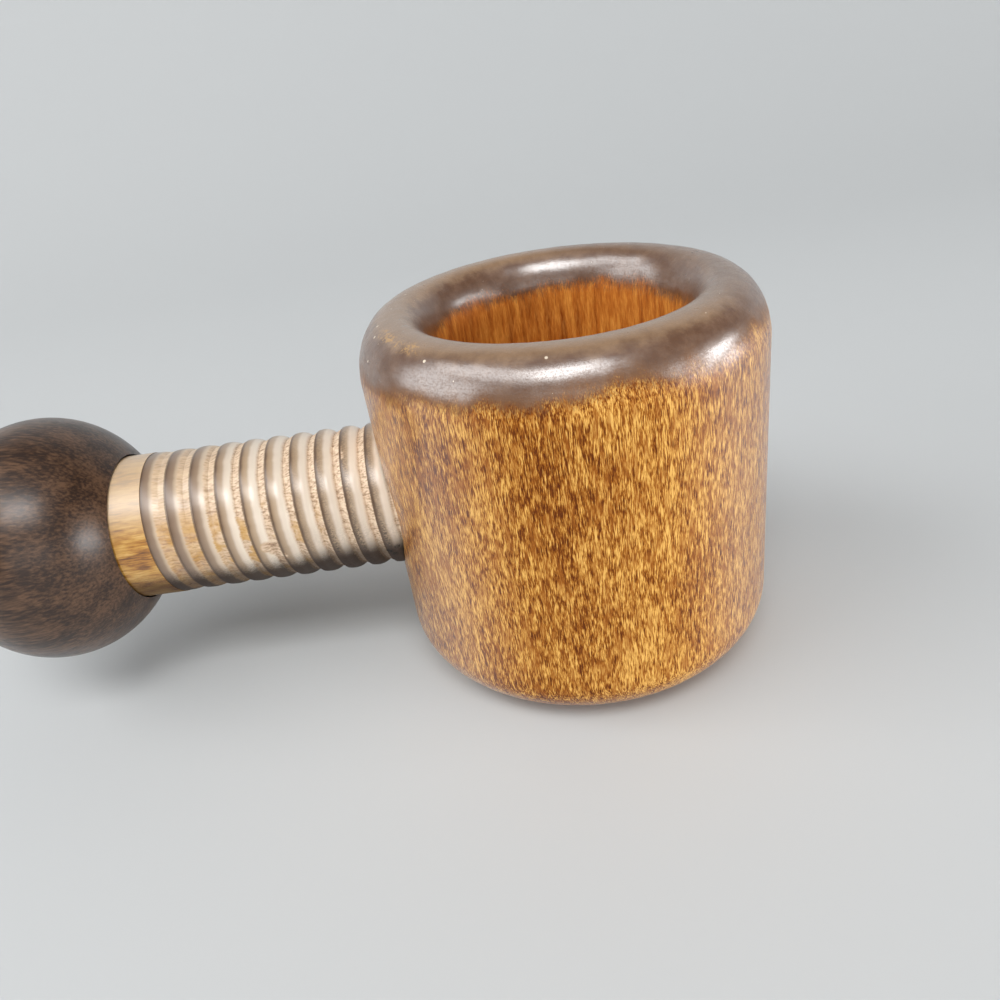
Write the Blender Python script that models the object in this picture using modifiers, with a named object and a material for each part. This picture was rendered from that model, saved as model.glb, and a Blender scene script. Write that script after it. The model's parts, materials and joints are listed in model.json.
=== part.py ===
"""A turned wooden screw nutcracker: a bowl with a tapped side hole, and a threaded
spindle with a ball knob that is wound into the bowl to crack a nut.

Run it with blender --background --python part.py, or from Blender's text editor.
Metres, +Z up. The origin is the centre of the bowl's flat base.
"""

import math

import bmesh
import bpy
from mathutils import Matrix, Vector

# Bowl
BOWL_RADIUS = 0.0330
BOWL_HEIGHT = 0.0645
FOOT_TAPER = 0.0006
WALL = 0.0125
FLOOR = 0.0110
FLOOR_CORNER = 0.0080
FOOT_ROUND_IN = 0.0133
FOOT_ROUND_UP = 0.0102
RIM_OUTER_IN = 0.0068
RIM_OUTER_DOWN = 0.0095
RIM_FLAT = 0.0005
RIM_INNER_DOWN = 0.0080

# Screw
SCREW_HEIGHT = 0.0324
SCREW_RADIUS = 0.0125
PITCH = 0.0254 / 6
THREAD_DEPTH = 0.0009
CREST_WIDTH = 0.0019
CREST_ROUND = 0.00015
VALLEY_WIDTH = 0.0008
THREAD_ANGLE = math.radians(1.2)
TIP_IN_CAVITY = 0.0010
TIP_CHAMFER = 0.0015
THREAD_SHOWN = 0.0390
NECK_RADIUS = 0.0126
NECK_SHOWN = 0.0054

# Knob and the dowel that joins it to the screw
KNOB_RADIUS = 0.0214
KNOB_HALF_LENGTH = 0.0190
SOCKET_DEPTH = 0.0040
DOWEL_RADIUS = 0.00475
DOWEL_IN_SCREW = 0.0180
DOWEL_IN_KNOB = 0.0180

# Gap left between two pieces that touch or run on each other
CLEARANCE = 0.0003

# How finely the round shapes are divided
BOWL_STEPS = 64
KNOB_STEPS = 48
SCREW_STEPS = 28
DOWEL_STEPS = 20

# How far a cutter reaches past what it cuts, which points count as one, and which edges stay sharp
CUT_MARGIN = 0.0020
MERGE = 0.00001
SHARP_ANGLE = math.radians(40)

# Places along the screw's axis, measured from the bowl's axis towards the knob
BORE_RADIUS = BOWL_RADIUS - WALL
TIP = BORE_RADIUS - TIP_IN_CAVITY
NECK_START = BOWL_RADIUS + THREAD_SHOWN
KNOB_FACE = NECK_START + NECK_SHOWN
KNOB_CENTRE = KNOB_FACE + KNOB_HALF_LENGTH * math.sqrt(1 - (NECK_RADIUS / KNOB_RADIUS) ** 2)
NECK_END = KNOB_FACE + SOCKET_DEPTH
SOCKET_FLOOR = NECK_END + CLEARANCE
DOWEL_START = NECK_END - DOWEL_IN_SCREW
DOWEL_END = SOCKET_FLOOR + DOWEL_IN_KNOB

ASSEMBLY = "screw_nutcracker"


def clear_scene():
    for obj in list(bpy.data.objects):
        bpy.data.objects.remove(obj, do_unlink=True)


def new_collection(name):
    collection = bpy.data.collections.new(name)
    bpy.context.scene.collection.children.link(collection)
    return collection


def wood(name, colour, roughness):
    """A Principled material in the wood's own colour."""
    material = bpy.data.materials.new(name)
    material.use_nodes = True
    shader = material.node_tree.nodes["Principled BSDF"]
    shader.inputs["Base Color"].default_value = (*colour, 1)
    shader.inputs["Roughness"].default_value = roughness
    shader.inputs["Metallic"].default_value = 0
    material.diffuse_color = (*colour, 1)
    return material


def arc(centre, radii, start, end, points):
    """Points (r, z) on part of an ellipse, from one angle in degrees to another."""
    found = []
    for step in range(points):
        angle = math.radians(start + (end - start) * step / (points - 1))
        found.append((centre[0] + radii[0] * math.cos(angle), centre[1] + radii[1] * math.sin(angle)))
    return found


def new_object(name, mesh, collection, parent=None, material=None):
    obj = bpy.data.objects.new(name, mesh)
    collection.objects.link(obj)
    obj.parent = parent
    if material:
        mesh.materials.append(material)
    return obj


def as_helper(obj):
    obj.hide_render = True
    obj.display_type = "WIRE"
    return obj


def profile_mesh(name, profile):
    """An open outline of (r, z) points in the XZ plane."""
    mesh = bpy.data.meshes.new(name)
    edges = [(k, k + 1) for k in range(len(profile) - 1)]
    mesh.from_pydata([(r, 0, z) for r, z in profile], edges, [])
    return mesh


def turned(name, profile, steps, collection, parent=None, material=None):
    """A solid turned about its own Z axis from an outline that starts and ends on that axis."""
    obj = new_object(name, profile_mesh(name, profile), collection, parent, material)
    screw = obj.modifiers.new("turn", "SCREW")
    screw.steps = steps
    screw.render_steps = steps
    screw.use_merge_vertices = True
    screw.merge_threshold = MERGE
    return obj


def cylinder_profile(radius, low, high):
    return [(0, high), (radius, high), (radius, low), (0, low)]


def boolean(obj, other, operation):
    modifier = obj.modifiers.new(other.name, "BOOLEAN")
    modifier.operation = operation
    modifier.solver = "EXACT"
    modifier.object = other


def thread_profile(extra):
    """One pitch of the thread as (r, z). extra is the gap that a tapped hole leaves all round."""
    root = SCREW_RADIUS - THREAD_DEPTH + extra
    crest = SCREW_RADIUS + extra
    valley = VALLEY_WIDTH - 2 * extra
    flank = (PITCH - VALLEY_WIDTH - CREST_WIDTH) / 2
    half_crest = CREST_WIDTH / 2 + extra
    middle = valley + flank + half_crest
    return [
        (root, 0),
        (root, valley),
        (crest - CREST_ROUND, valley + flank),
        (crest, middle),
        (crest - CREST_ROUND, middle + half_crest),
        (root, PITCH),
    ]


def threaded_rod(name, low, high, extra, collection, parent):
    """A closed right-hand threaded rod that covers at least low to high along its Z axis.
    Its crests lie at the same places whatever its ends, so a screw and its hole match."""
    profile = thread_profile(extra)
    crest_middle = profile[3][1]
    first = math.floor(low / PITCH) - 2
    turns = math.ceil(high / PITCH) + 2 - first
    start = first * PITCH - crest_middle
    mesh = profile_mesh(name, [(r, z + start) for r, z in profile])
    outline = new_object(name + "_outline", mesh, collection)
    screw = outline.modifiers.new("wind", "SCREW")
    screw.screw_offset = PITCH
    screw.iterations = turns
    screw.steps = SCREW_STEPS
    screw.render_steps = SCREW_STEPS
    screw.use_merge_vertices = True
    screw.merge_threshold = MERGE
    bpy.context.view_layer.update()
    wound = bpy.data.meshes.new_from_object(outline.evaluated_get(bpy.context.evaluated_depsgraph_get()))
    bpy.data.objects.remove(outline, do_unlink=True)

    # Close the two open ends, each with a fan of faces about its middle
    shape = bmesh.new()
    shape.from_mesh(wound)
    bmesh.ops.remove_doubles(shape, verts=shape.verts, dist=MERGE)
    ends = bmesh.ops.holes_fill(shape, edges=[e for e in shape.edges if e.is_boundary], sides=0)
    bmesh.ops.poke(shape, faces=ends["faces"])
    bmesh.ops.rotate(shape, verts=shape.verts, matrix=Matrix.Rotation(THREAD_ANGLE, 3, "Z"))
    bmesh.ops.recalc_face_normals(shape, faces=shape.faces)
    shape.to_mesh(wound)
    shape.free()
    wound.name = name
    return new_object(name, wound, collection, parent)


def shade(obj):
    """Smooth shading with edges kept where two surfaces meet at an angle."""
    obj.data.shade_smooth()
    obj.data.set_sharp_from_angle(angle=SHARP_ANGLE)


def bowl_profile():
    """The bowl's outline: up the inside, over the rounded rim and down to the foot."""
    foot_radius = BOWL_RADIUS - FOOT_TAPER
    rim_inner_out = WALL - RIM_OUTER_IN - RIM_FLAT
    floor_arc = arc(
        (BORE_RADIUS - FLOOR_CORNER, FLOOR + FLOOR_CORNER), (FLOOR_CORNER, FLOOR_CORNER), -90, 0, 7
    )
    inner_rim = arc(
        (BORE_RADIUS + rim_inner_out, BOWL_HEIGHT - RIM_INNER_DOWN),
        (rim_inner_out, RIM_INNER_DOWN), 180, 90, 7,
    )
    outer_rim = arc(
        (BOWL_RADIUS - RIM_OUTER_IN, BOWL_HEIGHT - RIM_OUTER_DOWN),
        (RIM_OUTER_IN, RIM_OUTER_DOWN), 90, 0, 8,
    )
    foot = arc(
        (foot_radius - FOOT_ROUND_IN, FOOT_ROUND_UP), (FOOT_ROUND_IN, FOOT_ROUND_UP), 0, -90, 9
    )
    return [(0, FLOOR)] + floor_arc + inner_rim + outer_rim + foot + [(0, 0)]


def make_bowl(parts, cutters, axis, material):
    """The bowl, bored from above and tapped through one side for the screw."""
    bowl = turned("bowl", bowl_profile(), BOWL_STEPS, parts, material=material)
    tap = as_helper(threaded_rod("tap", BORE_RADIUS, BOWL_RADIUS, CLEARANCE, cutters, axis))
    # The cutter starts in the open cavity, well clear of the wall's curved inner face
    in_cavity = BORE_RADIUS / 2
    ends = cylinder_profile(SCREW_RADIUS + CUT_MARGIN, in_cavity, BOWL_RADIUS + CUT_MARGIN)
    tap_ends = as_helper(turned("tap_ends", ends, SCREW_STEPS, cutters, axis))
    boolean(tap, tap_ends, "INTERSECT")
    boolean(bowl, tap, "DIFFERENCE")
    shade(bowl)
    return bowl


def make_screw(parts, cutters, axis, material):
    """The threaded spindle: chamfered tip, thread, plain neck and the dowel's hole."""
    screw = threaded_rod("screw", TIP, NECK_START, 0, parts, axis)
    screw.data.materials.append(material)
    outside = SCREW_RADIUS + CUT_MARGIN
    trim = [
        (0, NECK_START + PITCH / 2),
        (outside, NECK_START + PITCH / 2),
        (outside, TIP + TIP_CHAMFER + CUT_MARGIN),
        (SCREW_RADIUS - TIP_CHAMFER, TIP),
        (0, TIP),
    ]
    ends = as_helper(turned("screw_ends", trim, SCREW_STEPS, cutters, axis))
    boolean(screw, ends, "INTERSECT")
    neck = cylinder_profile(NECK_RADIUS, NECK_START, NECK_END)
    neck = as_helper(turned("screw_neck", neck, SCREW_STEPS, cutters, axis))
    boolean(screw, neck, "UNION")
    hole = cylinder_profile(DOWEL_RADIUS + CLEARANCE, DOWEL_START - CLEARANCE, NECK_END + CUT_MARGIN)
    hole = as_helper(turned("screw_dowel_hole", hole, DOWEL_STEPS, cutters, axis))
    boolean(screw, hole, "DIFFERENCE")
    shade(screw)
    return screw


def make_knob(parts, cutters, axis, material):
    """The slightly flattened ball, with a socket for the neck and a hole for the dowel."""
    ball = arc((0, KNOB_CENTRE), (KNOB_RADIUS, KNOB_HALF_LENGTH), 90, -90, 21)
    ball[0] = (0, ball[0][1])
    ball[-1] = (0, ball[-1][1])
    knob = turned("knob", ball, KNOB_STEPS, parts, axis, material)
    socket = cylinder_profile(
        NECK_RADIUS + CLEARANCE, KNOB_CENTRE - KNOB_HALF_LENGTH - CUT_MARGIN, SOCKET_FLOOR
    )
    socket = as_helper(turned("knob_socket", socket, SCREW_STEPS, cutters, axis))
    boolean(knob, socket, "DIFFERENCE")
    hole = cylinder_profile(
        DOWEL_RADIUS + CLEARANCE, SOCKET_FLOOR - CUT_MARGIN, DOWEL_END + CLEARANCE
    )
    hole = as_helper(turned("knob_dowel_hole", hole, DOWEL_STEPS, cutters, axis))
    boolean(knob, hole, "DIFFERENCE")
    shade(knob)
    return knob


def make_dowel(parts, axis, material):
    """The round dowel glued into both the knob and the screw."""
    dowel = turned(
        "joining_dowel", cylinder_profile(DOWEL_RADIUS, DOWEL_START, DOWEL_END), DOWEL_STEPS,
        parts, axis, material,
    )
    shade(dowel)
    return dowel


def main():
    clear_scene()
    parts = new_collection(ASSEMBLY)
    cutters = new_collection("cutters")
    cutters.hide_render = True
    honey = wood("bowl_wood", (0.50, 0.24, 0.06), 0.35)
    pale = wood("screw_wood", (0.52, 0.36, 0.20), 0.40)
    dark = wood("knob_wood", (0.045, 0.022, 0.012), 0.30)
    raw = wood("dowel_wood", (0.62, 0.45, 0.27), 0.60)

    # The screw's axis: its local Z points out of the bowl's side, towards the knob
    axis = bpy.data.objects.new("screw_axis", None)
    parts.objects.link(axis)
    axis.location = Vector((0, 0, SCREW_HEIGHT))
    axis.rotation_euler = (0, math.radians(-90), 0)

    make_bowl(parts, cutters, axis, honey)
    make_screw(parts, cutters, axis, pale)
    make_knob(parts, cutters, axis, dark)
    make_dowel(parts, axis, raw)
    bpy.context.view_layer.update()


main()
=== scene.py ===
"""The looks of a turned wooden screw nutcracker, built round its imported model.

Metres, +Z up, in the model's own frame: the bowl stands on the origin, and the screw runs along X
with its knob at -X. Each piece is turned, wound or cut here in full detail and takes the place of
the plain solid of the same part.
"""

import json
import math

import bpy
import numpy as np
from bpy.props import FloatProperty, FloatVectorProperty, IntProperty, PointerProperty
from mathutils import Matrix, Vector

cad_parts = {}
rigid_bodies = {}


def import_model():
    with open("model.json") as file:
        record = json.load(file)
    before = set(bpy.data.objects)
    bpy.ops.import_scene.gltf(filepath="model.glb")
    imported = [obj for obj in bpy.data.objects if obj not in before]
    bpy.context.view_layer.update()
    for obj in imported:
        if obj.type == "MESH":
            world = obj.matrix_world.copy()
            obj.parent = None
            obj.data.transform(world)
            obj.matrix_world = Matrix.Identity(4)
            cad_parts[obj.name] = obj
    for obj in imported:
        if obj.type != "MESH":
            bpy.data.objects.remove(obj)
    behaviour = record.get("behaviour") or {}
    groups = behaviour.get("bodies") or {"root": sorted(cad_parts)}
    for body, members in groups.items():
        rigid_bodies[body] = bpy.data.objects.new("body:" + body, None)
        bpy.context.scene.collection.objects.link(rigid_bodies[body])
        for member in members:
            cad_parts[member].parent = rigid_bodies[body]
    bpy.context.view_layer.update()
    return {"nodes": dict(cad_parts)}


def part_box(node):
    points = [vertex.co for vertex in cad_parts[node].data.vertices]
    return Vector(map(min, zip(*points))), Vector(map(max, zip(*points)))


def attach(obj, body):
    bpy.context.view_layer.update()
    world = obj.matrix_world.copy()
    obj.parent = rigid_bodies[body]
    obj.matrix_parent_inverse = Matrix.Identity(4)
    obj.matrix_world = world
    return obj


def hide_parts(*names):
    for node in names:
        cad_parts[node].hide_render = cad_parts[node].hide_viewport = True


bl_info = {
    "name": "Turned Screw Nutcracker",
    "version": (1, 0, 0),
    "blender": (4, 5, 0),
    "location": "View3D > Sidebar > Nutcracker",
    "description": "Builds a turned wooden screw nutcracker with its finishes, lights and camera",
    "category": "Add Mesh",
}

for startup_object in list(bpy.data.objects):
    bpy.data.objects.remove(startup_object, do_unlink=True)

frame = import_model()

MM = 0.001
CLEARANCE = 0.3 * MM
MERGE = 0.001 * MM
BOWL_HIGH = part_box("bowl")[1]
SCREW_LOW, SCREW_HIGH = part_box("screw")
KNOB_LOW, KNOB_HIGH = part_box("knob")
DOWEL_LOW, DOWEL_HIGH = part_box("joining_dowel")

# The screw's axis lies along X at this height. A piece that is made about Z is laid along it, with
# its own +Z towards the knob
AXIS_HEIGHT = (SCREW_LOW.z + SCREW_HIGH.z) / 2
DOWEL_RADIUS = (DOWEL_HIGH.z - DOWEL_LOW.z) / 2
TO_SCREW_AXIS = Matrix.Translation((0, 0, AXIS_HEIGHT)) @ Matrix.Rotation(math.radians(-90), 4, "Y")

# The camera's focal length is given in pixels of a view this wide
VIEW_PIXELS = 1000


def length(name, description, default):
    return FloatProperty(
        name=name, description=description, default=default, unit="LENGTH", precision=5
    )


def turned_by(name, description, degrees):
    return FloatProperty(
        name=name, description=description, default=math.radians(degrees), subtype="ANGLE"
    )


def colour(name, description, default):
    return FloatVectorProperty(
        name=name, description=description, default=default, subtype="COLOR", size=3, min=0, max=1
    )


class BowlSettings(bpy.types.PropertyGroup):
    """Sizes and colours of the bowl."""

    radius: length("Radius", "Outer radius at the rim", BOWL_HIGH.x)
    height: length("Height", "Height over the rim", BOWL_HIGH.z)
    taper: length("Foot Taper", "How much narrower the bowl is at its foot", 0.6 * MM)
    wall: length("Wall", "Thickness of the wall", 12.5 * MM)
    floor: length("Floor", "Thickness of the floor", 11.0 * MM)
    floor_corner: length("Floor Corner", "Radius between floor and wall inside", 8.0 * MM)
    foot_in: length("Foot Round In", "How far the foot's rounding reaches in", 13.3 * MM)
    foot_up: length("Foot Round Up", "How far the foot's rounding reaches up", 10.2 * MM)
    rim_in: length("Rim Round In", "How far the rim's outer rounding reaches in", 6.8 * MM)
    rim_down: length("Rim Round Down", "How far the rim's outer rounding reaches down", 9.5 * MM)
    rim_flat: length("Rim Flat", "Width of the flat top of the rim", 0.5 * MM)
    lip_down: length("Lip Round Down", "How far the rim's inner rounding reaches down", 8.0 * MM)
    stain_outside: length("Stain Outside", "Height of the stain's lower edge outside", 59.0 * MM)
    stain_inside: length("Stain Inside", "Height of the stain's lower edge inside", 58.6 * MM)
    unevenness: length("Unevenness", "How far the hand-turned surface strays", 0.12 * MM)
    swell: length("Swell", "Size of the hand-turned surface's unevenness", 9 * MM)
    dents: length("Dents", "Depth of the small dents that wear has left", 0.08 * MM)
    dent_size: length("Dent Size", "Size of the small dents", 2.2 * MM)
    segments: IntProperty(name="Segments", description="Faces round the bowl", default=240, min=24)
    fleck: colour("Fleck", "Darkest flecks in the grain", (0.105, 0.021, 0.001))
    brown: colour("Brown", "Dark streaks in the grain", (0.250, 0.068, 0.003))
    amber: colour("Amber", "The wood between light and dark", (0.42, 0.165, 0.022))
    gold: colour("Gold", "Light streaks in the grain", (0.63, 0.320, 0.070))
    straw: colour("Straw", "Palest streaks in the grain", (0.80, 0.460, 0.120))
    reddish: colour("Reddish", "Reddish marks over the grain", (0.32, 0.100, 0.011))
    inside_dark: colour("Inside Dark", "Dark streaks inside", (0.30, 0.070, 0.009))
    inside: colour("Inside", "The wood inside", (0.56, 0.175, 0.025))
    inside_light: colour("Inside Light", "Light streaks inside", (0.82, 0.340, 0.060))
    stain: colour("Stain", "The dark stain on the rim", (0.110, 0.050, 0.024))
    clouded: colour("Clouded", "Lighter clouds in the stain", (0.200, 0.115, 0.070))
    thinned: colour("Thinned", "The stain on the rim's handled top", (0.330, 0.205, 0.110))
    soaked: colour("Soaked", "The stain along its lower edge", (0.175, 0.078, 0.030))
    rubbed: colour("Rubbed", "Wood rubbed free on the rim", (0.52, 0.29, 0.085))
    rubbed_edge: colour("Rubbed Edge", "The rim's rubbed outer edge", (0.30, 0.135, 0.050))
    speck: colour("Speck", "Pale specks in the stain", (0.74, 0.62, 0.47))


class ScrewSettings(bpy.types.PropertyGroup):
    """Sizes and colours of the threaded spindle."""

    radius: length("Radius", "Radius over the thread", 12.5 * MM)
    neck_radius: length("Neck Radius", "Radius of the plain neck", (SCREW_HIGH.z - SCREW_LOW.z) / 2)
    pitch: length("Pitch", "Travel of one turn", 25.4 * MM / 6)
    depth: length("Thread Depth", "Depth of the thread near the bowl", 0.9 * MM)
    neck_depth: length("Thread Depth at Neck", "Depth of the thread where it runs out", 0.3 * MM)
    step: length("Worn Step", "How far the worn flank lies below the polished crest", 0.09 * MM)
    bowl_thread: length("Thread in Bowl", "Height of the thread inside the bowl's hole", 0.4 * MM)
    tip_chamfer: length("Tip Chamfer", "Chamfer of the end that meets the nut", 1.5 * MM)
    start_angle: turned_by("Start Angle", "Turns the thread round the axis", 1.2)
    steps: IntProperty(name="Steps", description="Faces in one turn of the thread", default=96, min=24)
    raw: colour("Raw", "Torn wood on the flanks that face the knob", (0.63, 0.460, 0.32))
    golden: colour("Golden", "Old varnish left on torn wood", (0.54, 0.30, 0.07))
    polished: colour("Polished", "Wood rubbed smooth and dirty by use", (0.35, 0.235, 0.138))
    # Also a painted shadow along the small step at each crest's polished edge.
    dirt: colour("Dirt", "Dirt along the thread's edge", (0.100, 0.054, 0.028))
    spot: colour("Spot", "Spots of dirt near the bowl", (0.070, 0.044, 0.026))
    # Partly dirt and partly painted shade, darkening the screw's lower front.
    low_shade_and_dirt: colour("Low Dirt", "Dirt along the lower front", (0.032, 0.018, 0.012))
    pit: colour("Pit", "Black pits next to the bowl", (0.010, 0.007, 0.005))
    neck: colour("Neck", "Varnished wood of the neck", (0.56, 0.300, 0.060))
    # Painted sheen: the neck's upper side made paler.
    painted_upper_sheen: colour("Bleached", "The neck's upper side", (0.68, 0.53, 0.37))


class KnobSettings(bpy.types.PropertyGroup):
    """Sizes and colour of the ball knob."""

    radius: length("Radius", "Radius across the screw's axis", KNOB_HIGH.y)
    segments: IntProperty(name="Segments", description="Faces round the knob", default=112, min=24)
    stain: colour("Stain", "The dark stain", (0.060, 0.030, 0.016))


class StageSettings(bpy.types.PropertyGroup):
    """Camera, lights and floor."""

    focal_pixels: FloatProperty(
        name="Focal Length", description="In pixels of the view", default=860
    )
    azimuth: turned_by("Azimuth", "Direction the camera looks from", 2.29)
    elevation: turned_by("Elevation", "Height the camera looks from", 28.92)
    roll: turned_by("Roll", "Turn of the camera about its view", -8.9)
    distance: length("Distance", "From the camera to the point it looks at", 154.13 * MM)
    target: FloatVectorProperty(
        name="Target", description="The point the camera looks at",
        default=(-13.71 * MM, 0, 27.68 * MM), unit="LENGTH",
    )
    floor: colour("Floor", "The pale floor", (0.52, 0.535, 0.54))


# Shader maths


class Wire:
    """A socket's output that can be used in sums, such as 1 - mask or wave * 0.2."""

    def __init__(self, recipe, socket):
        self.recipe = recipe
        self.socket = socket

    def __add__(self, other):
        return self.recipe.maths("ADD", self, other)

    __radd__ = __add__

    def __sub__(self, other):
        return self.recipe.maths("SUBTRACT", self, other)

    def __rsub__(self, other):
        return self.recipe.maths("SUBTRACT", other, self)

    def __mul__(self, other):
        return self.recipe.maths("MULTIPLY", self, other)

    __rmul__ = __mul__

    def __truediv__(self, other):
        return self.recipe.maths("DIVIDE", self, other)


class Recipe:
    """The nodes of one finish."""

    def __init__(self, name):
        self.material = bpy.data.materials.new(name)
        self.material.use_nodes = True
        self.tree = self.material.node_tree
        self.shader = self.tree.nodes["Principled BSDF"]
        self.place = self.node("ShaderNodeTexCoord", output="Object")
        self.x, self.y, self.z = (
            self.node("ShaderNodeSeparateXYZ", sockets={0: self.place}, output=axis) for axis in "XYZ"
        )

    def node(self, kind, settings=None, sockets=None, output=0):
        """Adds a node: its settings first, then the values or links of its sockets."""
        node = self.tree.nodes.new(kind)
        for key, value in (settings or {}).items():
            if key == "stops":
                self.set_stops(node.color_ramp, value)
            else:
                setattr(node, key, value)
        for key, value in (sockets or {}).items():
            self.feed(node.inputs[key], value)
        return Wire(self, node.outputs[output])

    def feed(self, socket, value):
        if isinstance(value, Wire):
            self.tree.links.new(value.socket, socket)
        elif socket.type == "RGBA":
            socket.default_value = (*value, 1)
        else:
            socket.default_value = value

    @staticmethod
    def set_stops(ramp, stops):
        while len(ramp.elements) < len(stops):
            ramp.elements.new(1)
        for element, (position, shade) in zip(ramp.elements, stops):
            element.position = position
            element.color = (*shade, 1)

    def maths(self, operation, a, b=0.0):
        return self.node("ShaderNodeMath", {"operation": operation}, {0: a, 1: b})

    def blend(self, factor, a, b):
        """Colour a where factor is 0, colour b where it is 1."""
        return self.node("ShaderNodeMix", {"data_type": "RGBA"}, {0: factor, 6: a, 7: b}, 2)

    def rise(self, value, low, high):
        """0 below low, 1 above high, and smooth in between."""
        return self.node(
            "ShaderNodeMapRange", {"interpolation_type": "SMOOTHSTEP"},
            {0: value, 1: low, 2: high, 3: 0.0, 4: 1.0},
        )

    def near(self, places, reach):
        """1 close to any of these places, given in mm, 0 beyond reach, and soft in between."""
        close = reach * 0.6
        mask = 0.0
        for place in places:
            sockets = {0: self.place, 1: tuple(part * MM for part in place)}
            away = self.node("ShaderNodeVectorMath", {"operation": "DISTANCE"}, sockets, "Value")
            mask = self.maths("MAXIMUM", mask, 1 - self.rise(away, close, reach))
        return mask

    def ramp(self, value, stops):
        return self.node("ShaderNodeValToRGB", {"stops": stops}, {0: value})

    def stretched(self, x, y, z):
        """Object coordinates, each multiplied by its own number. Below 1 draws noise out that way."""
        sockets = {0: self.place, 1: (x, y, z)}
        return self.node("ShaderNodeVectorMath", {"operation": "MULTIPLY"}, sockets)

    def noise(self, vector, size, detail=2.0, roughness=0.5):
        """Soft noise with features of about this size in metres. Its mean is 0.5."""
        return self.node("ShaderNodeTexNoise", None, {
            "Vector": vector, "Scale": 1 / size, "Detail": detail, "Roughness": roughness,
        })

    def cloud(self, size, detail=2.0, roughness=0.5):
        """Soft noise that is the same in every direction."""
        return self.noise(self.place, size, detail, roughness)

    def bump(self, height, distance, before=None):
        """A normal that shows height, 0 to 1, as that many metres."""
        sockets = {"Height": height, "Distance": distance, "Strength": 1.0}
        if before:
            sockets["Normal"] = before
        return self.node("ShaderNodeBump", None, sockets)

    def paint(self, **sockets):
        for name, value in sockets.items():
            self.feed(self.shader.inputs[name.replace("_", " ")], value)
        return self.material


# Modelling


def only(obj):
    """Makes obj the one selected object."""
    bpy.ops.object.select_all(action="DESELECT")
    obj.select_set(True)
    bpy.context.view_layer.objects.active = obj


def apply(obj, kind, **settings):
    """Adds a modifier with these settings and applies it."""
    only(obj)
    modifier = obj.modifiers.new(kind.title(), kind)
    for key, value in settings.items():
        setattr(modifier, key, value)
    bpy.ops.object.modifier_apply(modifier=modifier.name)


def arc(centre, radii, start, end, steps):
    """Points (radius, height) on part of an ellipse, between two angles in degrees."""
    angles = [math.radians(start + (end - start) * step / steps) for step in range(steps + 1)]
    return [(centre[0] + radii[0] * math.cos(a), centre[1] + radii[1] * math.sin(a)) for a in angles]


def straight(start, end, steps):
    """The points after start on a straight line to end."""
    return [
        tuple(start[axis] + (end[axis] - start[axis]) * step / steps for axis in (0, 1))
        for step in range(1, steps + 1)
    ]


def turn_on_lathe(name, outline, segments):
    """A closed solid turned about Z: a disc whose edge is drawn out from ring to ring of the outline,
    and closed at a point on the axis."""
    radius, height = outline[0]
    bpy.ops.object.select_all(action="DESELECT")
    bpy.ops.mesh.primitive_circle_add(
        vertices=segments, radius=radius, fill_type="TRIFAN", location=(0, 0, height)
    )
    obj = bpy.context.object
    obj.name = name
    bpy.ops.object.transform_apply(location=True, rotation=True, scale=True)
    bpy.ops.object.mode_set(mode="EDIT")
    bpy.ops.mesh.select_mode(type="EDGE")
    bpy.ops.mesh.select_all(action="DESELECT")
    bpy.ops.mesh.select_non_manifold(
        use_wire=False, use_multi_face=False, use_non_contiguous=False, use_verts=False
    )
    for next_radius, next_height in outline[1:]:
        bpy.ops.mesh.extrude_region_move(
            TRANSFORM_OT_translate={"value": (0, 0, next_height - height)}
        )
        share = next_radius / radius
        bpy.ops.transform.resize(value=(share, share, 1), center_override=(0, 0, next_height))
        radius, height = next_radius, next_height
    bpy.ops.mesh.merge(type="COLLAPSE")
    bpy.ops.mesh.select_all(action="SELECT")
    bpy.ops.mesh.remove_doubles(threshold=MERGE)
    bpy.ops.mesh.normals_make_consistent(inside=False)
    bpy.ops.object.mode_set(mode="OBJECT")
    return obj


def points_of(obj):
    flat = np.empty(len(obj.data.vertices) * 3)
    obj.data.vertices.foreach_get("co", flat)
    return flat.reshape(-1, 3)


def put_points(obj, points):
    obj.data.vertices.foreach_set("co", points.ravel())
    obj.data.update()


def place_on_screw_axis(obj):
    """Moves a piece made about Z onto the screw's axis, with its place in its mesh."""
    only(obj)
    obj.matrix_world = TO_SCREW_AXIS
    bpy.ops.object.transform_apply(location=True, rotation=True, scale=True)


# Edges sharper than this many degrees stay sharp
SHARP = 35


def hand_in(obj, body, node, material):
    """Shades a finished piece, gives it its finish and its body, and hides the plain node it stands
    for.
    """
    only(obj)
    bpy.ops.object.shade_smooth_by_angle(angle=math.radians(SHARP))
    obj.data.materials.clear()
    obj.data.materials.append(material)
    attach(obj, body)
    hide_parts(node)


# The thread. A place on it is v, from 0 at a crest's polished edge to 1 at the next one, and turns,
# counted along the winding

CREST = 0.19
VALLEY = 0.69
EDGE = 0.006

# In turns: where the thread runs out at the neck, and where it has its full depth
RUN_OUT = (-17.10, -16.80)
FULL_DEPTH = -10.4

# The crest's side falls away as this power of the distance from its top
CREST_CURVE = 2.4

# Where the faces of one pitch have their edges, as v
MARKS = (
    EDGE, 0.03, 0.07, 0.12, 0.17, 0.22, 0.28, 0.34, 0.40, 0.46, 0.52, 0.57, 0.62, 0.66,
    VALLEY, 0.72, 0.77, 0.83, 0.89, 0.94, 0.97, 1 - EDGE,
)


def winding_start(settings):
    """Where the winding starts, as part of a turn."""
    return 0.25 - settings.start_angle / math.tau + CREST


def thread_place(settings, x, y, z):
    """(v, turns) of points near the screw, from their place in the model."""
    angle = np.arctan2(z - AXIS_HEIGHT, y) / math.tau
    phase = x / settings.pitch - angle + winding_start(settings)
    whole = np.floor(phase)
    return phase - whole, whole + angle


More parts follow.
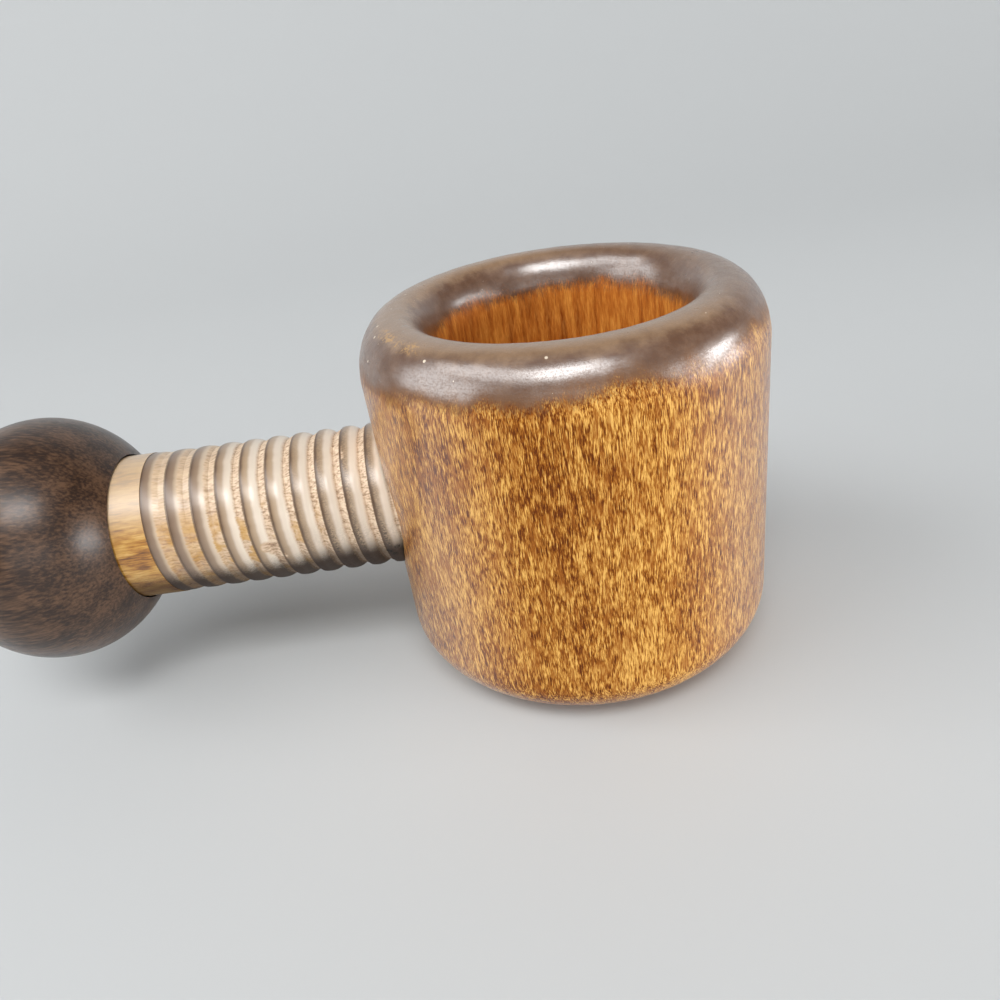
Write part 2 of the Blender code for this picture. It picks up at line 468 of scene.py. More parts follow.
def thread_drop(settings, v, depth):
    """How far below the crest's top the surface lies at v."""
    from_crest = np.abs(v - CREST) / (VALLEY - CREST)
    polished = depth * from_crest ** CREST_CURVE
    up_the_flank = (v - VALLEY) / (1 - VALLEY)
    top = depth * (CREST / (VALLEY - CREST)) ** CREST_CURVE + settings.step * depth / settings.depth
    worn = depth + (top - depth) * up_the_flank
    return np.where(v < VALLEY, polished, worn)


def thread_depth(settings, turns):
    """The thread's depth, which fades towards the neck and runs out there."""
    share = np.clip((turns - RUN_OUT[1]) / (FULL_DEPTH - RUN_OUT[1]), 0, 1)
    start = np.clip((turns - RUN_OUT[0]) / (RUN_OUT[1] - RUN_OUT[0]), 0, 1)
    return start * (settings.neck_depth + (settings.depth - settings.neck_depth) * share)


def wound_rod(name, settings, low, high):
    """A closed round rod along the screw's axis, its faces laid along the thread's winding. It is
    wound with spare turns at both ends and then cut flat."""
    spare = 2
    first = math.floor(low / settings.pitch) - spare
    turns = math.ceil(high / settings.pitch) + spare - first
    # Towards the knob v falls, so the marks are laid from the last to the first
    along = [first * settings.pitch - (v - CREST) * settings.pitch for v in reversed(MARKS)]
    mesh = bpy.data.meshes.new(name)
    chain = [(k, k + 1) for k in range(len(along))]
    points = [(settings.radius, 0, z) for z in (*along, along[0] + settings.pitch)]
    mesh.from_pydata(points, chain, [])
    obj = bpy.data.objects.new(name, mesh)
    bpy.context.scene.collection.objects.link(obj)
    apply(
        obj, "SCREW", axis="Z", angle=math.tau, screw_offset=settings.pitch, iterations=turns,
        steps=settings.steps, render_steps=settings.steps, use_merge_vertices=True,
        merge_threshold=MERGE,
    )
    only(obj)
    bpy.ops.object.mode_set(mode="EDIT")
    bpy.ops.mesh.select_all(action="SELECT")
    bpy.ops.mesh.remove_doubles(threshold=MERGE)
    for end, cleared in ((low, "clear_inner"), (high, "clear_outer")):
        bpy.ops.mesh.select_all(action="SELECT")
        bpy.ops.mesh.bisect(
            plane_co=(0, 0, end), plane_no=(0, 0, 1), use_fill=True, threshold=MERGE / 10,
            **{cleared: True},
        )
    bpy.ops.mesh.select_all(action="SELECT")
    bpy.ops.mesh.normals_make_consistent(inside=False)
    bpy.ops.object.mode_set(mode="OBJECT")
    obj.data.transform(Matrix.Rotation(settings.start_angle, 4, "Z"))
    place_on_screw_axis(obj)
    return obj


def set_radius(obj, radius):
    """Moves the points of a piece on the screw's axis to these distances from it. Points in the
    middle of its flat ends stay."""
    points = points_of(obj)
    across = points[:, 1:] - (0, AXIS_HEIGHT)
    now = np.linalg.norm(across, axis=1)
    middle = DOWEL_RADIUS * 1.5
    on_surface = now > middle
    share = np.where(on_surface, radius / np.maximum(now, DOWEL_RADIUS), 1)
    points[:, 1:] = across * share[:, None] + (0, AXIS_HEIGHT)
    put_points(obj, points)


# Finishes


def grain(recipe, fine, stretch):
    """(streaks, blotches) along the screw's axis, the streaks of this fineness across it."""
    streaks = recipe.noise(recipe.stretched(stretch, 1, 1), fine, 3, 0.6)
    blotches = recipe.noise(recipe.stretched(stretch * 3, 1, 1), fine * 9)
    return streaks, blotches


# Pale specks in the rim's stain, and chips and pits in the thread, in mm
RIM_SPECKS = (
    (-28.1, -5.3, 63.9), (-28.4, -8.4, 63.2), (-20.2, -21.9, 63.0), (-29.8, -11.0, 60.5),
    (-3.8, -28.8, 63.6), (-4.4, 23.8, 63.6), (4.6, 23.2, 62.7),
)
THREAD_CHIPS = (
    (-39.3, -4.5, 43.8), (-38.9, -5.8, 43.2), (-52.7, -12.3, 31.6), (-51.6, -12.2, 30.6),
    (-50.8, -11.9, 29.4),
)
THREAD_PITS = ((-31.6, -11.3, 28.0), (-33.0, -11.0, 27.2), (-32.2, -10.6, 26.2))


def bowl_grain(recipe, settings, inner):
    """(wood, flecks): slim upright flecks in amber wood outside, redder streaks inside."""
    lines = recipe.noise(recipe.stretched(1, 1, 0.08), 0.13 * MM, 3, 0.6)
    flecks = recipe.noise(recipe.stretched(1, 1, 0.18), 0.20 * MM, 3, 0.65)
    patches = recipe.noise(recipe.stretched(1, 1, 0.24), 0.65 * MM)
    broad = recipe.noise(recipe.stretched(1, 1, 0.6), 12 * MM, 1)
    tone = lines + flecks * 0.65 + patches * 0.50 + broad * 0.25 - 0.7
    wood = recipe.ramp(tone, [
        (0.35, settings.fleck), (0.44, settings.brown), (0.51, settings.amber),
        (0.59, settings.gold), (0.70, settings.straw),
    ])
    marks = recipe.noise(recipe.stretched(1, 1, 0.25), 1.0 * MM)
    wood = recipe.blend(recipe.rise(marks, 0.50, 0.66) * 0.55, wood, settings.reddish)
    streaks = recipe.noise(recipe.stretched(1, 1, 0.12), 1.1 * MM, 3, 0.6)
    inside = recipe.ramp(streaks * 0.8 + lines * 0.2, [
        (0.34, settings.inside_dark), (0.50, settings.inside), (0.66, settings.inside_light),
    ])
    return recipe.blend(inner * 0.84, wood, inside), flecks


def rim_stain(recipe, settings, inner, flecks):
    """(stained, over_edge, stain): where the stain is, the height over its edge, and its colour."""
    x, y, z = recipe.x, recipe.y, recipe.z
    wander = (recipe.cloud(7 * MM) - 0.5) * (5 * MM)
    ragged = (flecks - 0.5) * (6 * MM)
    edge = settings.stain_outside - inner * (settings.stain_outside - settings.stain_inside)
    slant = recipe.maths("MINIMUM", x, 0) * (0.08 - inner * 0.08)
    over_edge = z + wander - edge - slant
    stained = recipe.rise(over_edge + ragged, -1.5 * MM, 1.5 * MM)

    cloudy = recipe.cloud(2.4 * MM, 4, 0.6)
    stain = recipe.blend(recipe.rise(cloudy, 0.35, 0.75) * 0.6, settings.stain, settings.clouded)
    top = settings.height
    thin = recipe.rise(z + (cloudy - 0.5) * (2 * MM), top - 1.8 * MM, top - 0.2 * MM)
    handled = 1 - recipe.rise(x + y * 0.5, 6 * MM, 22 * MM) * 0.7
    stain = recipe.blend(thin * handled * 0.60, stain, settings.thinned)
    soaked = 1 - recipe.rise(over_edge, 0.5 * MM, 3.2 * MM)
    stain = recipe.blend(soaked * (1 - inner) * 0.65, stain, settings.soaked)
    return stained, over_edge, stain


def rim_wear(recipe, settings, radius, bearing, stained, shade):
    """(shade, worn): a streak on the rim, towards the screw, is rubbed through to the wood, and so
    is the rim's outer edge behind. Pale specks lie in the stain."""
    rubbing = recipe.cloud(1.5 * MM, 4, 0.65)
    streak = recipe.rise(bearing, -172, -160) - recipe.rise(bearing, -139, -129)
    off_line = recipe.maths("ABSOLUTE", radius - (settings.radius - 4.5 * MM))
    on_top = recipe.rise(recipe.z, settings.height - 3.0 * MM, settings.height - 1.5 * MM)
    streak = streak * (1 - recipe.rise(off_line, 0.3 * MM, 1.6 * MM)) * on_top
    threads = recipe.cloud(0.5 * MM, 3, 0.7)
    worn = recipe.rise(rubbing * 0.5 + threads * 0.5 + streak * 0.10, 0.58, 0.68) * streak
    shade = recipe.blend(worn * 0.70, shade, settings.rubbed)

    behind = recipe.rise(recipe.y - recipe.x * 0.6, 8 * MM, 24 * MM)
    behind = behind * recipe.rise(radius, 29.0 * MM, 31.5 * MM) * stained
    patchy = recipe.rise(rubbing, 0.35, 0.65) * 0.7
    shade = recipe.blend(behind * patchy, shade, settings.rubbed_edge)

    specks = recipe.rise(recipe.cloud(0.8 * MM, 1), 0.80, 0.82) * stained
    specks = recipe.maths("MAXIMUM", specks, recipe.near(RIM_SPECKS, 0.30 * MM))
    return recipe.blend(specks, shade, settings.speck), worn


def bowl_finish(settings):
    """Amber wood with short dark flecks under a satin varnish, and a dark stain over the rim."""
    recipe = Recipe("varnished_bowl_wood")
    x, y, z = recipe.x, recipe.y, recipe.z
    radius = recipe.maths("SQRT", x * x + y * y)
    bearing = recipe.maths("ARCTAN2", y, x) * (180 / math.pi)
    inner = 1 - recipe.rise(radius, settings.radius - 8 * MM, settings.radius - 6 * MM)
    wood, flecks = bowl_grain(recipe, settings, inner)
    stained, over_edge, stain = rim_stain(recipe, settings, inner, flecks)
    shade = recipe.blend(stained, wood, stain)
    shade, worn = rim_wear(recipe, settings, radius, bearing, stained, shade)

    dents = recipe.cloud(1.6 * MM, 3, 0.6)
    pores = recipe.cloud(0.28 * MM, 2, 0.6)
    turning = {0: radius, 1: z, 2: bearing * (0.02 * MM)}
    rings = recipe.noise(recipe.node("ShaderNodeCombineXYZ", None, turning), 0.24 * MM, 3, 0.65)
    relief = recipe.bump(dents, 0.075 * MM)
    relief = recipe.bump(rings, 0.020 * MM, relief)
    relief = recipe.bump(pores * stained + flecks * (1 - stained), 0.026 * MM, relief)
    rough = 0.42 - stained * 0.10 + (dents - 0.5) * 0.25 + worn * 0.15

    # The varnish is thicker towards both sides and round the foot than where the hand lies
    sides = recipe.rise(x * x, (8 * MM) ** 2, (24 * MM) ** 2)
    foot = 1 - recipe.rise(z, 3 * MM, 9 * MM)
    varnish = sides * 0.95 + foot * 0.85
    broken = 0.58 + recipe.rise(pores * 0.7 + rings * 0.3, 0.38, 0.60) * 0.60
    film = recipe.rise(over_edge, -0.2 * MM, 2.9 * MM) * broken
    gloss = recipe.maths("MINIMUM", varnish * (1 - stained) + film, 1)
    return recipe.paint(
        Base_Color=shade, Roughness=rough, Normal=relief, Coat_Weight=gloss, Coat_Roughness=0.27,
        Coat_IOR=2.25, IOR=1.25,
    )


def thread_waves(recipe, settings):
    """(v, turns) in the shader, as thread_place gives them for points."""
    angle = recipe.maths("ARCTAN2", recipe.z - AXIS_HEIGHT, recipe.y) / math.tau
    phase = recipe.x / settings.pitch - angle + winding_start(settings)
    whole = recipe.maths("FLOOR", phase)
    return phase - whole, whole + angle


def torn_wood(recipe, settings, ticks, patches, varnish_left):
    """Torn wood on the thread's flanks, with short ticks along the grain."""
    raw = recipe.ramp(ticks + (patches - 0.5) * 0.25, [
        (0.28, (0.33, 0.210, 0.130)), (0.40, (0.52, 0.365, 0.24)), (0.50, settings.raw),
        (0.66, (0.74, 0.59, 0.43)),
    ])
    return recipe.blend(varnish_left * 0.75, raw, settings.golden)


def neck_wood(recipe, settings, fibres, patches, from_axis):
    """Varnished wood with golden and brown streaks, its upper side paler as a painted sheen."""
    streaks = recipe.noise(recipe.stretched(0.2, 1, 1), 0.9 * MM, 3, 0.6)
    varnished = recipe.ramp(fibres * 0.4 + streaks * 0.6 + (patches - 0.5) * 0.5, [
        (0.34, (0.15, 0.050, 0.009)), (0.44, (0.40, 0.170, 0.024)), (0.55, settings.neck),
        (0.70, (0.68, 0.43, 0.15)),
    ])
    # Painted sheen: paler towards the top.
    upper = recipe.rise(from_axis, 2.5 * MM, 9 * MM)
    return recipe.blend(upper * 0.66, varnished, settings.painted_upper_sheen)


def crest_wood(recipe, settings, v, patches, near_neck):
    """The crests: dark at the polished edge with dirt and a painted shadow of the step, pale beyond
    it, where the palest part is partly a painted highlight, and duller near the neck.
    """
    across = v + (patches - 0.5) * 0.12
    # The palest stops are partly a painted highlight along the crests.
    bright = recipe.ramp(across, [
        (0.03, settings.dirt), (0.07, (0.21, 0.130, 0.074)), (0.14, settings.polished),
        (0.29, (0.45, 0.330, 0.220)), (0.39, (0.72, 0.610, 0.49)), (0.56, (0.84, 0.740, 0.61)),
        (0.68, (0.70, 0.540, 0.40)),
    ])
    dull = recipe.ramp(across, [
        (0.02, settings.dirt), (0.06, (0.16, 0.098, 0.062)), (0.30, (0.24, 0.155, 0.100)),
        (0.42, (0.47, 0.335, 0.21)), (0.60, (0.62, 0.460, 0.30)),
    ])
    return recipe.blend(near_neck * 0.85, bright, dull)


def screw_finish(settings):
    """Threaded wood: crests rubbed smooth and dirty, torn raw flanks, and a varnished neck, with a
    painted highlight on the crests, painted sheen on the upper side and painted shade on the lower
    front.
    """
    recipe = Recipe("worn_screw_wood")
    x, y, from_axis = recipe.x, recipe.y, recipe.z - AXIS_HEIGHT
    v, turns = thread_waves(recipe, settings)
    fibres = recipe.noise(recipe.stretched(0.10, 1, 1), 0.22 * MM, 3, 0.6)
    patches = recipe.noise(recipe.stretched(0.4, 1, 1), 2.2 * MM)
    ticks = recipe.noise(recipe.stretched(0.03, 1, 1), 0.34 * MM, 1)
    mottle = recipe.noise(recipe.stretched(0.6, 1, 1), 0.26 * MM, 4, 0.75)
    near_neck = 1 - recipe.rise(x, -66 * MM, -54 * MM)
    near_bowl = recipe.rise(x, -52 * MM, -38 * MM)
    threaded = recipe.rise(turns, RUN_OUT[0], RUN_OUT[1] - 0.15)

    # The polished part of each pitch, with ragged edges
    ragged = (fibres - 0.5) * 0.16 + (patches - 0.5) * 0.10
    at_edge = v + ragged * 0.3
    left = recipe.rise(at_edge, 0.005, 0.020)
    right = 1 - recipe.rise(v + ragged + near_neck * 0.18, 0.60, 0.70)
    whole = 1 - recipe.near(THREAD_CHIPS, 1.3 * MM)
    polished = left * right * threaded * whole

    golden = recipe.rise(recipe.noise(recipe.stretched(0.5, 1, 1), 2.6 * MM), 0.50, 0.62)
    # The old varnish is kept off the upper side, which shows paler torn wood there: painted sheen, as
    # on the neck.
    golden = golden * (1 - near_bowl) * (1 - recipe.rise(from_axis, 2 * MM, 9 * MM)) * whole
    torn = torn_wood(recipe, settings, ticks, patches, golden)
    neck = neck_wood(recipe, settings, fibres, patches, from_axis)
    light = recipe.blend(near_neck * (1 - threaded * 0.5), torn, neck)

    low = 1 - recipe.rise(from_axis, -6 * MM, 4 * MM)
    crest_side = 1 - recipe.rise(v, 0.16, 0.36)
    spots = recipe.rise(mottle, 0.42, 0.56) * near_bowl
    spots = spots * (crest_side * (0.5 + low * 0.5) + low * 0.35)
    # The crest colour's palest part is partly a painted highlight.
    rubbed = crest_wood(recipe, settings, v, patches, near_neck)
    rubbed = recipe.blend(spots, rubbed, settings.spot)
    shade = recipe.blend(polished, light, rubbed)

    # A dark line along the step at each crest's polished edge: dirt and a painted shadow of the step.
    edge = recipe.rise(at_edge, 0.925, 0.975) + (1 - recipe.rise(at_edge, 0.020, 0.075))
    shade = recipe.blend(edge * threaded * (0.80 + near_bowl * 0.2), shade, settings.dirt)
    # Darker towards the lower front and nearly black at the bottom: painted shade with some dirt. The
    # gloss is taken off there too.
    higher = (mottle - 0.5) * (3 * MM) + (1 - near_bowl) * (1.2 * MM)
    in_front = 1 - recipe.rise(y, -6.5 * MM, -1 * MM)
    under = (1 - recipe.rise(from_axis + higher, -5.6 * MM, -1.2 * MM)) * in_front
    shade = recipe.blend(under * (0.74 + polished * 0.22), shade, settings.low_shade_and_dirt)
    pits = recipe.near(THREAD_PITS, 0.7 * MM) * recipe.rise(mottle, 0.42, 0.50)
    shade = recipe.blend(pits, shade, settings.pit)

    bare = (1 - polished) * threaded * (1 - near_neck * 0.7)
    smooth_relief = recipe.bump(mottle, 0.012 * MM)
    torn_relief = recipe.bump(ticks, 0.012 * MM)
    relief = recipe.node(
        "ShaderNodeMix", {"data_type": "VECTOR"}, {0: bare, 4: smooth_relief, 5: torn_relief}, 1
    )
    rough = 0.34 + bare * 0.22 + (mottle - 0.5) * 0.2 + under * 0.3
    gloss = (0.62 - bare * 0.5) * (1 - under)
    return recipe.paint(
        Base_Color=shade, Roughness=rough, Normal=relief, Coat_Weight=gloss, Coat_Roughness=0.30,
        Coat_IOR=1.8, IOR=1.4,
    )


def knob_finish(settings):
    """Very dark stain with a soft gloss, the grain just showing along the screw's axis."""
    recipe = Recipe("stained_knob_wood")
    streaks, blotches = grain(recipe, 0.4 * MM, 0.12)
    tone = streaks + (blotches - 0.5) * 0.6
    shade = recipe.ramp(tone, [
        (0.36, (0.026, 0.013, 0.008)), (0.50, settings.stain), (0.66, (0.115, 0.060, 0.032)),
    ])
    dents = recipe.cloud(2.0 * MM, 3, 0.6)
    relief = recipe.bump(dents, 0.030 * MM)
    relief = recipe.bump(streaks, 0.030 * MM, relief)
    rough = 0.36 + (dents - 0.5) * 0.25
    return recipe.paint(
        Base_Color=shade, Roughness=rough, Normal=relief, Coat_Weight=0.35, Coat_Roughness=0.25,
        IOR=1.4,
    )


def dowel_finish():
    """Bare pale wood with fine grain along the screw's axis."""
    recipe = Recipe("bare_dowel_wood")
    streaks, blotches = grain(recipe, 0.3 * MM, 0.10)
    shade = recipe.ramp(streaks + (blotches - 0.5) * 0.4, [
        (0.38, (0.42, 0.27, 0.14)), (0.52, (0.60, 0.44, 0.26)), (0.66, (0.70, 0.55, 0.36)),
    ])
    relief = recipe.bump(streaks, 0.04 * MM)
    return recipe.paint(Base_Color=shade, Roughness=0.62, Normal=relief)


def floor_finish(settings):
    """Plain and pale."""
    return Recipe("pale_floor").paint(Base_Color=settings.floor, Roughness=0.6)


# Pieces


# Faces along each part of the bowl's outline, and the radius at which it ends, short of the axis
FOOT_STEPS, SIDE_STEPS, RIM_STEPS, TOP_STEPS = 26, 34, 34, 2
LIP_STEPS, BORE_STEPS, CORNER_STEPS, FLOOR_STEPS = 28, 28, 14, 8
OUTLINE_END = 0.2 * MM


def bowl_outline(s):
    """The bowl's outline: up from its flat base, over the rim and down to the cavity's floor."""
    bore = s.radius - s.wall
    foot = s.radius - s.taper
    lip = s.wall - s.rim_in - s.rim_flat
    corner_radii = (s.floor_corner, s.floor_corner)
    outline = arc((foot - s.foot_in, s.foot_up), (s.foot_in, s.foot_up), -90, 0, FOOT_STEPS)
    rim_centre = (s.radius - s.rim_in, s.height - s.rim_down)
    rim = arc(rim_centre, (s.rim_in, s.rim_down), 0, 90, RIM_STEPS)
    outline += straight(outline[-1], rim[0], SIDE_STEPS) + rim[1:]
    inner = arc((bore + lip, s.height - s.lip_down), (lip, s.lip_down), 90, 180, LIP_STEPS)
    outline += straight(outline[-1], inner[0], TOP_STEPS) + inner[1:]
    corner_centre = (bore - s.floor_corner, s.floor + s.floor_corner)
    corner = arc(corner_centre, corner_radii, 0, -90, CORNER_STEPS)
    outline += straight(outline[-1], corner[0], BORE_STEPS) + corner[1:]
    return outline + straight(outline[-1], (OUTLINE_END, s.floor), FLOOR_STEPS)


def roughen(obj, strength, size, clear_below):
    """Presses the surface in by up to strength, unevenly, above a height."""
    cloud = bpy.data.textures.new(obj.name + "_unevenness", "CLOUDS")
    cloud.noise_scale = size
    group = obj.vertex_groups.new(name="uneven")
    above = [int(i) for i in np.flatnonzero(points_of(obj)[:, 2] > clear_below)]
    group.add(above, 1.0, "REPLACE")
    apply(
        obj, "DISPLACE", texture=cloud, strength=strength, mid_level=1.0, direction="NORMAL",
        texture_coords="LOCAL", vertex_group="uneven",
    )
    obj.vertex_groups.clear()


class NUTCRACKER_OT_bowl(bpy.types.Operator):
    """Turn the bowl, cut its threaded hole and finish it"""

    bl_idname = "nutcracker.bowl"
    bl_label = "Bowl"

    def execute(self, context):
        settings = context.scene.nutcracker_bowl
        thread = context.scene.nutcracker_screw
        bowl = turn_on_lathe("turned_bowl", bowl_outline(settings), settings.segments)
        clear_below = settings.foot_up / 4
        roughen(bowl, settings.unevenness, settings.swell, clear_below)
        roughen(bowl, settings.dents, settings.dent_size, clear_below)
        bore = settings.radius - settings.wall
        outside = settings.radius + 2 * MM
        tap = wound_rod("thread_cutter", thread, bore / 2, outside)
        v, _turns = thread_place(thread, *points_of(tap).T)
        cut = thread.radius + CLEARANCE - thread_drop(thread, v, thread.depth)
        set_radius(tap, np.maximum(cut, thread.radius + CLEARANCE - thread.bowl_thread))
        apply(bowl, "BOOLEAN", operation="DIFFERENCE", solver="EXACT", object=tap)
        bpy.data.objects.remove(tap, do_unlink=True)
        hand_in(bowl, "bowl", "bowl", bowl_finish(settings))
        return {"FINISHED"}


def bore_end(obj, depth, radius):
    """Sinks a round hole into the flat end, towards the knob, of a piece on the screw's axis."""
    margin = 0.4 * MM
    only(obj)
    end = points_of(obj)[:, 0].min()
    bpy.ops.object.mode_set(mode="EDIT")
    bpy.ops.mesh.select_mode(type="FACE")
    bpy.ops.mesh.select_all(action="DESELECT")
    bpy.ops.object.mode_set(mode="OBJECT")
    for face in obj.data.polygons:
        face.select = abs(face.center.x - end) < MERGE and face.normal.x < -0.9
    bpy.ops.object.mode_set(mode="EDIT")
    bpy.ops.mesh.inset(thickness=margin)
    share = radius / (obj.dimensions.z / 2 - margin)
    bpy.ops.transform.resize(value=(1, share, share), center_override=(end, 0, AXIS_HEIGHT))
    bpy.ops.mesh.extrude_region_move(TRANSFORM_OT_translate={"value": (depth, 0, 0)})
    bpy.ops.object.mode_set(mode="OBJECT")


class NUTCRACKER_OT_screw(bpy.types.Operator):
    """Wind the threaded spindle with its neck, bore it for the dowel and finish it"""

    bl_idname = "nutcracker.screw"
    bl_label = "Screw"

    def execute(self, context):
        settings = context.scene.nutcracker_screw
        screw = wound_rod("threaded_spindle", settings, -SCREW_HIGH.x, -SCREW_LOW.x)
        points = points_of(screw)
        v, turns = thread_place(settings, *points.T)
        depth = thread_depth(settings, turns)
        thread = settings.radius - thread_drop(settings, v, depth)
        radius = np.where(turns < RUN_OUT[0], settings.neck_radius, thread)
        from_tip = SCREW_HIGH.x - points[:, 0]
        set_radius(screw, np.minimum(radius, settings.radius - settings.tip_chamfer + from_tip))
        hole_depth = DOWEL_HIGH.x - SCREW_LOW.x + CLEARANCE
        bore_end(screw, hole_depth, DOWEL_RADIUS + CLEARANCE)
        hand_in(screw, "screw_and_knob", "screw", screw_finish(settings))
        return {"FINISHED"}


# Faces along the knob's outline
BALL_STEPS = 90


class NUTCRACKER_OT_knob(bpy.types.Operator):
    """Turn the ball knob with the socket for the screw's neck and finish it"""

    bl_idname = "nutcracker.knob"
    bl_label = "Knob"

    def execute(self, context):
        settings = context.scene.nutcracker_knob
        neck = context.scene.nutcracker_screw.neck_radius
        socket = neck + CLEARANCE
        at_socket = math.sqrt(1 - (socket / settings.radius) ** 2)
        half_length = (KNOB_HIGH.x - KNOB_LOW.x) / (1 + at_socket)
        centre = -KNOB_LOW.x - half_length
        socket_floor = -SCREW_LOW.x + CLEARANCE
        hole = DOWEL_RADIUS + CLEARANCE
        hole_floor = -DOWEL_LOW.x + CLEARANCE
        mouth = -math.degrees(math.asin(at_socket))
        outline = [(hole, hole_floor), (hole, socket_floor), (socket, socket_floor)]
        # The ball's arc ends one degree short of the axis, where the lathe closes it
        ball = arc((0, centre), (settings.radius, half_length), mouth, 89, BALL_STEPS)
        outline += straight(outline[-1], ball[0], 3) + ball[1:]
        knob = turn_on_lathe("ball_knob", outline, settings.segments)
        place_on_screw_axis(knob)
        hand_in(knob, "screw_and_knob", "knob", knob_finish(settings))
        return {"FINISHED"}


class NUTCRACKER_OT_dowel(bpy.types.Operator):
    """Finish the hidden dowel that joins knob and screw"""

    bl_idname = "nutcracker.dowel"
    bl_label = "Dowel"

    def execute(self, context):
        dowel = frame["nodes"]["joining_dowel"]
        finish = dowel_finish()
        for slot in dowel.material_slots:
            slot.material = finish
        return {"FINISHED"}


# Stage


# The lamps: name, side of the object, direction of the long side, size as seen from the object
# (its length and width over its distance), and brightness
LAMPS = (
    ("ceiling", (-0.10, -0.25, 0.95), (1, 0, 0), (1.50, 1.20), 0.2),
    ("ceiling_lamp", (-0.02, -0.59, 0.81), (1, 0, 0), (0.85, 0.40), 1.3),
    ("ceiling_lamp_core", (0.00, -0.56, 0.83), (1, 0, 0), (0.56, 0.32), 8.2),
    ("ceiling_lamp_left", (-0.57, -0.20, 0.77), (0.4, -0.88, 0.2), (0.85, 0.34), 3.6),
    ("window_right", (0.95, -0.26, 0.10), (0, 1, 0), (0.80, 0.34), 11.0),
    ("window_left", (-0.88, -0.20, 0.38), (0.1, -1, 0), (0.90, 0.50), 3.2),
    ("room_front", (0.10, -0.97, 0.25), (1, 0, 0), (0.90, 0.40), 1.5),
)
LAMP_DISTANCE = 1.6
LAMPS_AIM = Vector((-0.02, 0, 0.03))
SENSOR_WIDTH = 36
FLOOR_SIZE = 4
FLOOR_SHIFT = -0.9
BACKDROP_HEIGHT = 2
BACKDROP_BEND = 0.8
WORLD_COLOUR = (0.92, 0.96, 1.0)
WORLD_STRENGTH = 0.10


def add_camera(settings):
    camera_data = bpy.data.cameras.new("view")
    camera_data.sensor_width = SENSOR_WIDTH
    camera_data.lens = settings.focal_pixels * SENSOR_WIDTH / VIEW_PIXELS
    camera_data.clip_start = 0.01
    camera = bpy.data.objects.new("view", camera_data)
    bpy.context.scene.collection.objects.link(camera)
    level, up = math.cos(settings.elevation), math.sin(settings.elevation)
    back = Vector((math.sin(settings.azimuth) * level, -math.cos(settings.azimuth) * level, up))
    turn = back.to_track_quat("Z", "Y") @ Matrix.Rotation(settings.roll, 3, "Z").to_quaternion()
    camera.location = Vector(settings.target) + back * settings.distance
    camera.rotation_euler = turn.to_euler()
    bpy.context.scene.camera = camera


def add_lamp(name, side, along, size, brightness):
    """A soft rectangular lamp on one side of the object, its long side turned along a direction.

    Brightness is that of its own surface, where a white sheet in plain light has 1.
    """
    back = Vector(side).normalized()
    across = (Vector(along) - Vector(along).dot(back) * back).normalized()
    lamp = bpy.data.lights.new(name, "AREA")
    lamp.shape = "RECTANGLE"
    lamp.size, lamp.size_y = (LAMP_DISTANCE * share for share in size)
    lamp.energy = brightness * math.pi * lamp.size * lamp.size_y
    obj = bpy.data.objects.new(name, lamp)
    bpy.context.scene.collection.objects.link(obj)
    obj.location = LAMPS_AIM + back * LAMP_DISTANCE
    obj.visible_camera = False
    obj.rotation_euler = Matrix((across, back.cross(across), back)).transposed().to_euler()


def add_floor(settings):
    """A floor that curves up into a backdrop far behind."""
    bpy.ops.object.select_all(action="DESELECT")
    bpy.ops.mesh.primitive_plane_add(size=FLOOR_SIZE, location=(0, FLOOR_SHIFT, 0))
    floor = bpy.context.object
    floor.name = "floor"
    bpy.ops.object.transform_apply(location=True)
    bpy.ops.object.mode_set(mode="EDIT")
    bpy.ops.mesh.select_mode(type="EDGE")
    bpy.ops.mesh.select_all(action="DESELECT")
    bpy.ops.object.mode_set(mode="OBJECT")
    far = FLOOR_SIZE / 2 + FLOOR_SHIFT - MM
    for edge in floor.data.edges:
        edge.select = all(floor.data.vertices[end].co.y > far for end in edge.vertices)
    bpy.ops.object.mode_set(mode="EDIT")
    bpy.ops.mesh.extrude_region_move(TRANSFORM_OT_translate={"value": (0, 0, BACKDROP_HEIGHT)})
    bpy.ops.object.mode_set(mode="OBJECT")
    apply(floor, "BEVEL", width=BACKDROP_BEND, segments=16, limit_method="ANGLE")
    only(floor)
    bpy.ops.object.shade_smooth()
    floor.data.materials.append(floor_finish(settings))


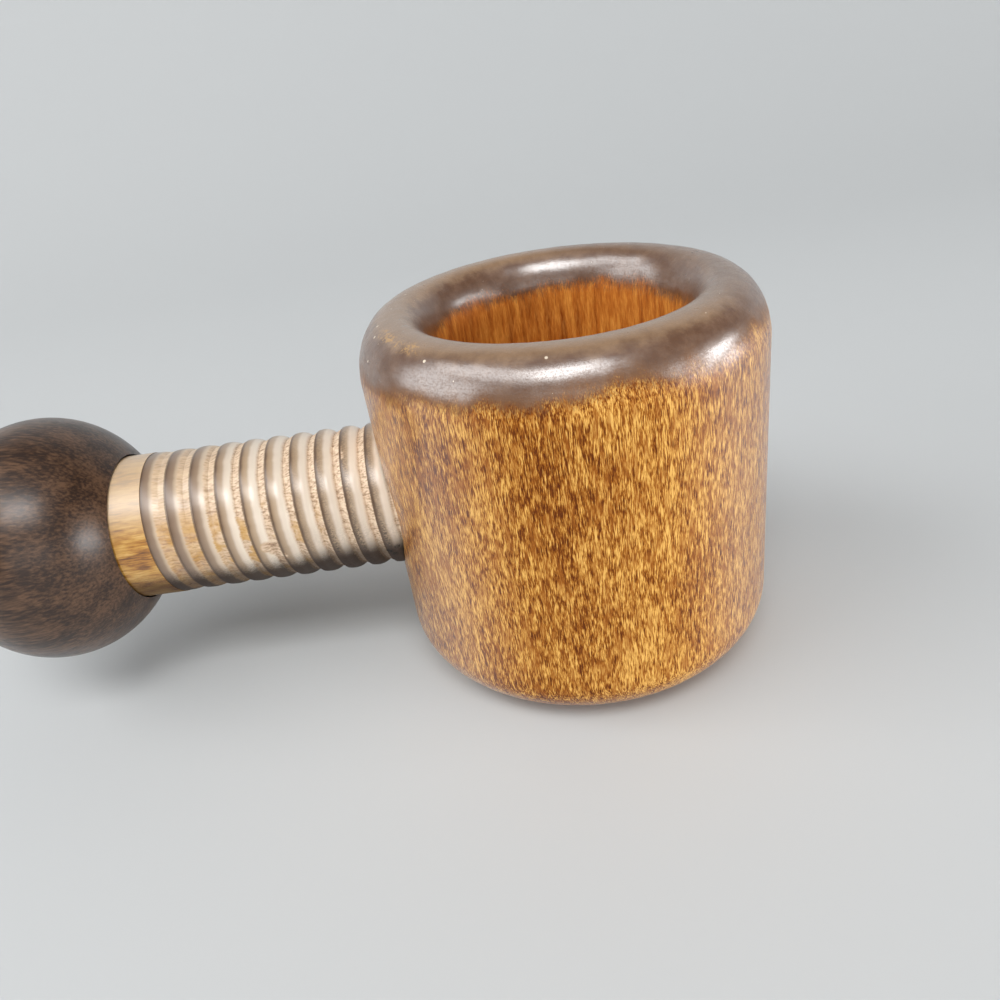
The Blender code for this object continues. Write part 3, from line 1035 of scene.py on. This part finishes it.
def light_world():
    """A soft even light from all round."""
    world = bpy.data.worlds.new("soft_room")
    bpy.context.scene.world = world
    world.use_nodes = True
    sky = world.node_tree.nodes["Background"]
    sky.inputs["Color"].default_value = (*WORLD_COLOUR, 1)
    sky.inputs["Strength"].default_value = WORLD_STRENGTH


class NUTCRACKER_OT_stage(bpy.types.Operator):
    """Set up the floor, the lamps and the camera"""

    bl_idname = "nutcracker.stage"
    bl_label = "Stage"

    def execute(self, context):
        settings = context.scene.nutcracker_stage
        add_floor(settings)
        add_camera(settings)
        light_world()
        for lamp in LAMPS:
            add_lamp(*lamp)
        context.scene.view_settings.view_transform = "Standard"
        return {"FINISHED"}


class NUTCRACKER_PT_panel(bpy.types.Panel):
    """The steps that build the nutcracker"""

    bl_label = "Screw Nutcracker"
    bl_idname = "NUTCRACKER_PT_panel"
    bl_space_type = "VIEW_3D"
    bl_region_type = "UI"
    bl_category = "Nutcracker"

    def draw(self, context):
        for operator in OPERATORS:
            self.layout.operator(operator.bl_idname)


SETTINGS = {
    "nutcracker_bowl": BowlSettings,
    "nutcracker_screw": ScrewSettings,
    "nutcracker_knob": KnobSettings,
    "nutcracker_stage": StageSettings,
}
OPERATORS = (
    NUTCRACKER_OT_bowl,
    NUTCRACKER_OT_screw,
    NUTCRACKER_OT_knob,
    NUTCRACKER_OT_dowel,
    NUTCRACKER_OT_stage,
)


def register():
    for group in SETTINGS.values():
        bpy.utils.register_class(group)
    for name, group in SETTINGS.items():
        setattr(bpy.types.Scene, name, PointerProperty(type=group))
    for cls in (*OPERATORS, NUTCRACKER_PT_panel):
        bpy.utils.register_class(cls)


def unregister():
    for cls in (NUTCRACKER_PT_panel, *reversed(OPERATORS)):
        bpy.utils.unregister_class(cls)
    for name in SETTINGS:
        delattr(bpy.types.Scene, name)
    for group in SETTINGS.values():
        bpy.utils.unregister_class(group)


def main():
    register()
    bpy.ops.nutcracker.bowl()
    bpy.ops.nutcracker.screw()
    bpy.ops.nutcracker.knob()
    bpy.ops.nutcracker.dowel()
    bpy.ops.nutcracker.stage()


if __name__ == "__main__":
    main()
